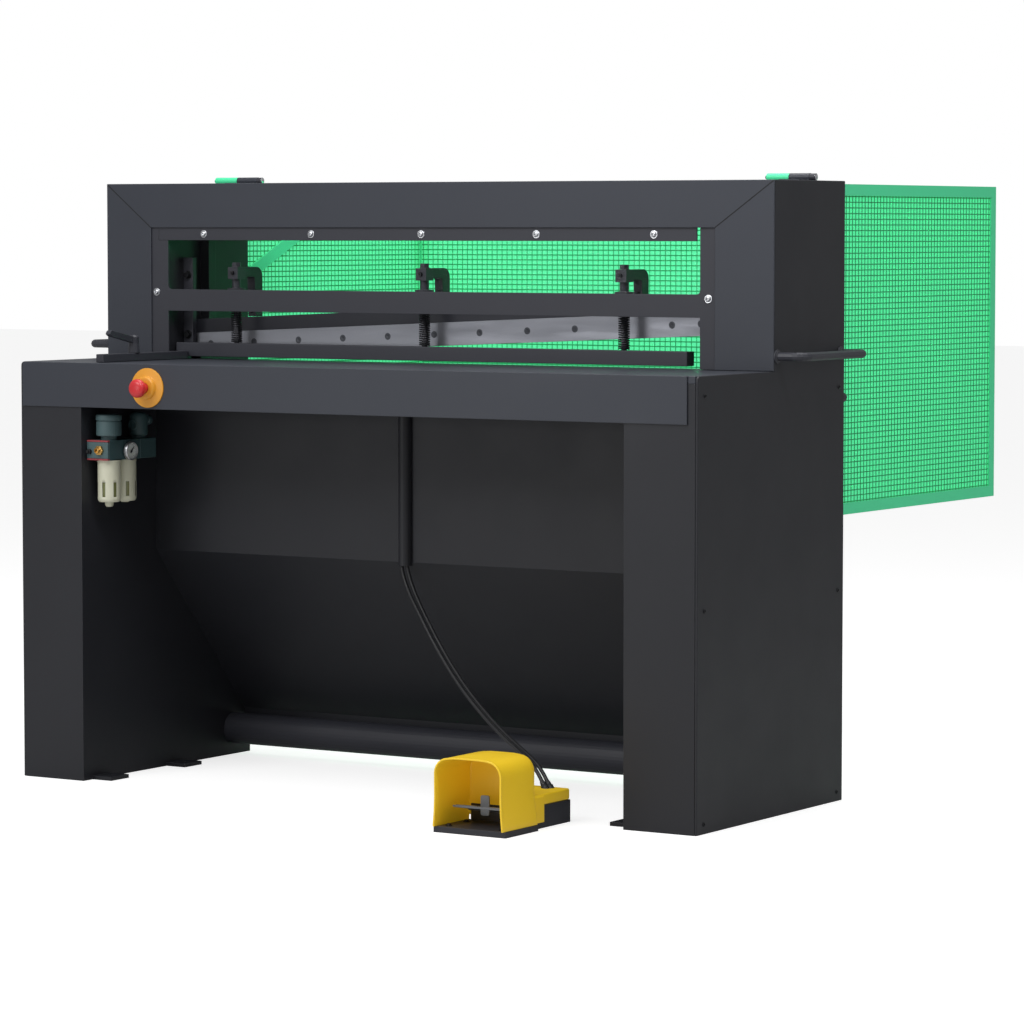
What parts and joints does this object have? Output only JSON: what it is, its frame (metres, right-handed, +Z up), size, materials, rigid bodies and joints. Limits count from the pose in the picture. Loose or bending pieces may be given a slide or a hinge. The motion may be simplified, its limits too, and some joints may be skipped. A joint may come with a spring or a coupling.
{
  "type": "pneumatic guillotine shear",
  "caption": "Pneumatic guillotine shear for sheet metal: raked blade behind a finger guard, wire rear guard cage, foot valve on air hoses, air service unit.",
  "frame": {"origin": "on the floor, at the middle of the box round the machine with its rear cage and foot valve", "axes": "+X to the operator's right along the blade, +Y from the operator to the rear cage, +Z up"},
  "size_m": [1.819, 1.692, 1.3006],
  "materials": {
    "graphite_paint": "fine textured powder coat, dark graphite",
    "graphite_panel": "fine textured powder coat, darker graphite",
    "black_paint": "satin black",
    "blade_steel": "ground tool steel",
    "machined_aluminium": "anodised",
    "hard_chrome": "polished",
    "spring_steel": "oiled dark steel",
    "teal_plastic": "fine grain",
    "dark_teal_plastic": "fine grain",
    "cream_plastic": "smooth",
    "yellow_plastic": "fine grain",
    "red_plastic": "smooth",
    "grey_paint": "satin",
    "hose_rubber": "satin black tube",
    "green_paint": "bright spring green paint",
    "clear_window": "clear",
    "green_tint_sheet": "translucent green tinted sheet",
    "plain_brass": "turned brass",
    "zinc_screws": "bright zinc plate"
  },
  "bodies": {
    "machine": {"left_side_frame": "graphite_panel", "right_side_frame": "graphite_panel", "left_side_panel": "graphite_panel", "right_side_panel": "graphite_panel", "table_top": "graphite_paint", "front_apron": "graphite_paint", "chute_panel": "graphite_panel", "cross_tube": "black_paint", "hose_cover": "graphite_panel", "roof_cover": "graphite_paint", "front_cover": "graphite_paint", "guard_frame": "black_paint", "guard_top_strip": "black_paint", "guard_window": "clear_window", "lower_blade_beam": "black_paint", "lower_blade": "blade_steel", "left_handle": "black_paint", "right_handle": "black_paint", "left_cylinder": "machined_aluminium", "right_cylinder": "machined_aluminium", "valve_block": "machined_aluminium", "left_hinge_pin": "black_paint", "right_hinge_pin": "black_paint", "estop_disc": "yellow_plastic", "service_unit_body": "teal_plastic", "front_bowl": "cream_plastic", "rear_bowl": "cream_plastic", "lubricator_dome": "dark_teal_plastic", "pressure_gauge": "hard_chrome", "squaring_arm": "black_paint", "foot_valve_base": "black_paint", "foot_guard": "yellow_plastic", "left_air_hose": "hose_rubber", "right_air_hose": "hose_rubber"},
    "ram": {"blade_beam": "black_paint", "upper_blade": "blade_steel", "left_clamp_arm": "black_paint", "middle_clamp_arm": "black_paint", "right_clamp_arm": "black_paint", "left_piston_rod": "hard_chrome", "right_piston_rod": "hard_chrome"},
    "hold_down": {"hold_down_beam": "black_paint", "left_hold_down_rod": "black_paint", "middle_hold_down_rod": "black_paint", "right_hold_down_rod": "black_paint", "left_hold_down_spring": "spring_steel", "middle_hold_down_spring": "spring_steel", "right_hold_down_spring": "spring_steel"},
    "emergency_button": {"estop_button": "red_plastic"},
    "pressure_knob": {"regulator_knob": "teal_plastic"},
    "needle": {"gauge_needle": "black_paint"},
    "squaring_lever": {"clamp_lever": "black_paint"},
    "treadle": {"foot_treadle": "grey_paint"},
    "pedal_latch": {"foot_latch": "grey_paint"},
    "rear_guard": {"cage_frame": "green_paint", "cage_left_mesh": "green_tint_sheet", "cage_right_mesh": "green_tint_sheet", "cage_rear_mesh": "green_tint_sheet", "cage_brace": "green_paint"},
    "cover_knob": {"rear_knob": "black_paint"}
  },
  "joints": [
    {"name": "ram_slide", "type": "slide", "parent": "machine", "child": "ram", "axis": [0, 0, -1], "range_m": [0, 0.07], "deforming": ["left_hold_down_spring", "middle_hold_down_spring", "right_hold_down_spring"]},
    {"name": "hold_down_slide", "type": "slide", "parent": "machine", "child": "hold_down", "axis": [0, 0, -1], "range_m": [0, 0.005]},
    {"name": "estop_press", "type": "slide", "parent": "machine", "child": "emergency_button", "axis": [0, 1, 0], "range_m": [0, 0.005]},
    {"name": "regulator_turn", "type": "hinge", "parent": "machine", "child": "pressure_knob", "pos_m": [-0.641, -0.564, 0.734], "axis": [0, 0, 1], "continuous": true},
    {"name": "needle_turn", "type": "hinge", "parent": "machine", "child": "needle", "pos_m": [-0.6186, -0.527, 0.709], "axis": [1, 0, 0], "range_deg": [-95, 175]},
    {"name": "squaring_lever_turn", "type": "hinge", "parent": "machine", "child": "squaring_lever", "pos_m": [-0.645, -0.469, 0.9184], "axis": [0, 0, 1], "range_deg": [-60, 120]},
    {"name": "treadle_press", "type": "hinge", "parent": "machine", "child": "treadle", "pos_m": [0.456, -0.748, 0.04], "axis": [1, 0, 0], "range_deg": [0, 12], "stiffness_Nm_per_rad": 5, "springref_deg": -11.46},
    {"name": "latch_tilt", "type": "hinge", "parent": "treadle", "child": "pedal_latch", "pos_m": [0.456, -0.781, 0.05], "axis": [-1, 0, 0], "range_deg": [0, 20], "stiffness_Nm_per_rad": 0.05, "springref_deg": -17.19},
    {"name": "rear_guard_lift", "type": "hinge", "parent": "machine", "child": "rear_guard", "pos_m": [0, -0.004, 1.2926], "axis": [1, 0, 0], "range_deg": [0, 80]},
    {"name": "cover_knob_turn", "type": "hinge", "parent": "machine", "child": "cover_knob", "pos_m": [0.824, -0.004, 0.837], "axis": [0, 1, 0], "continuous": true}
  ],
  "couplings": [
    {"joint": "hold_down_slide", "follows": "ram_slide", "ratio": 0.07}
  ]
}
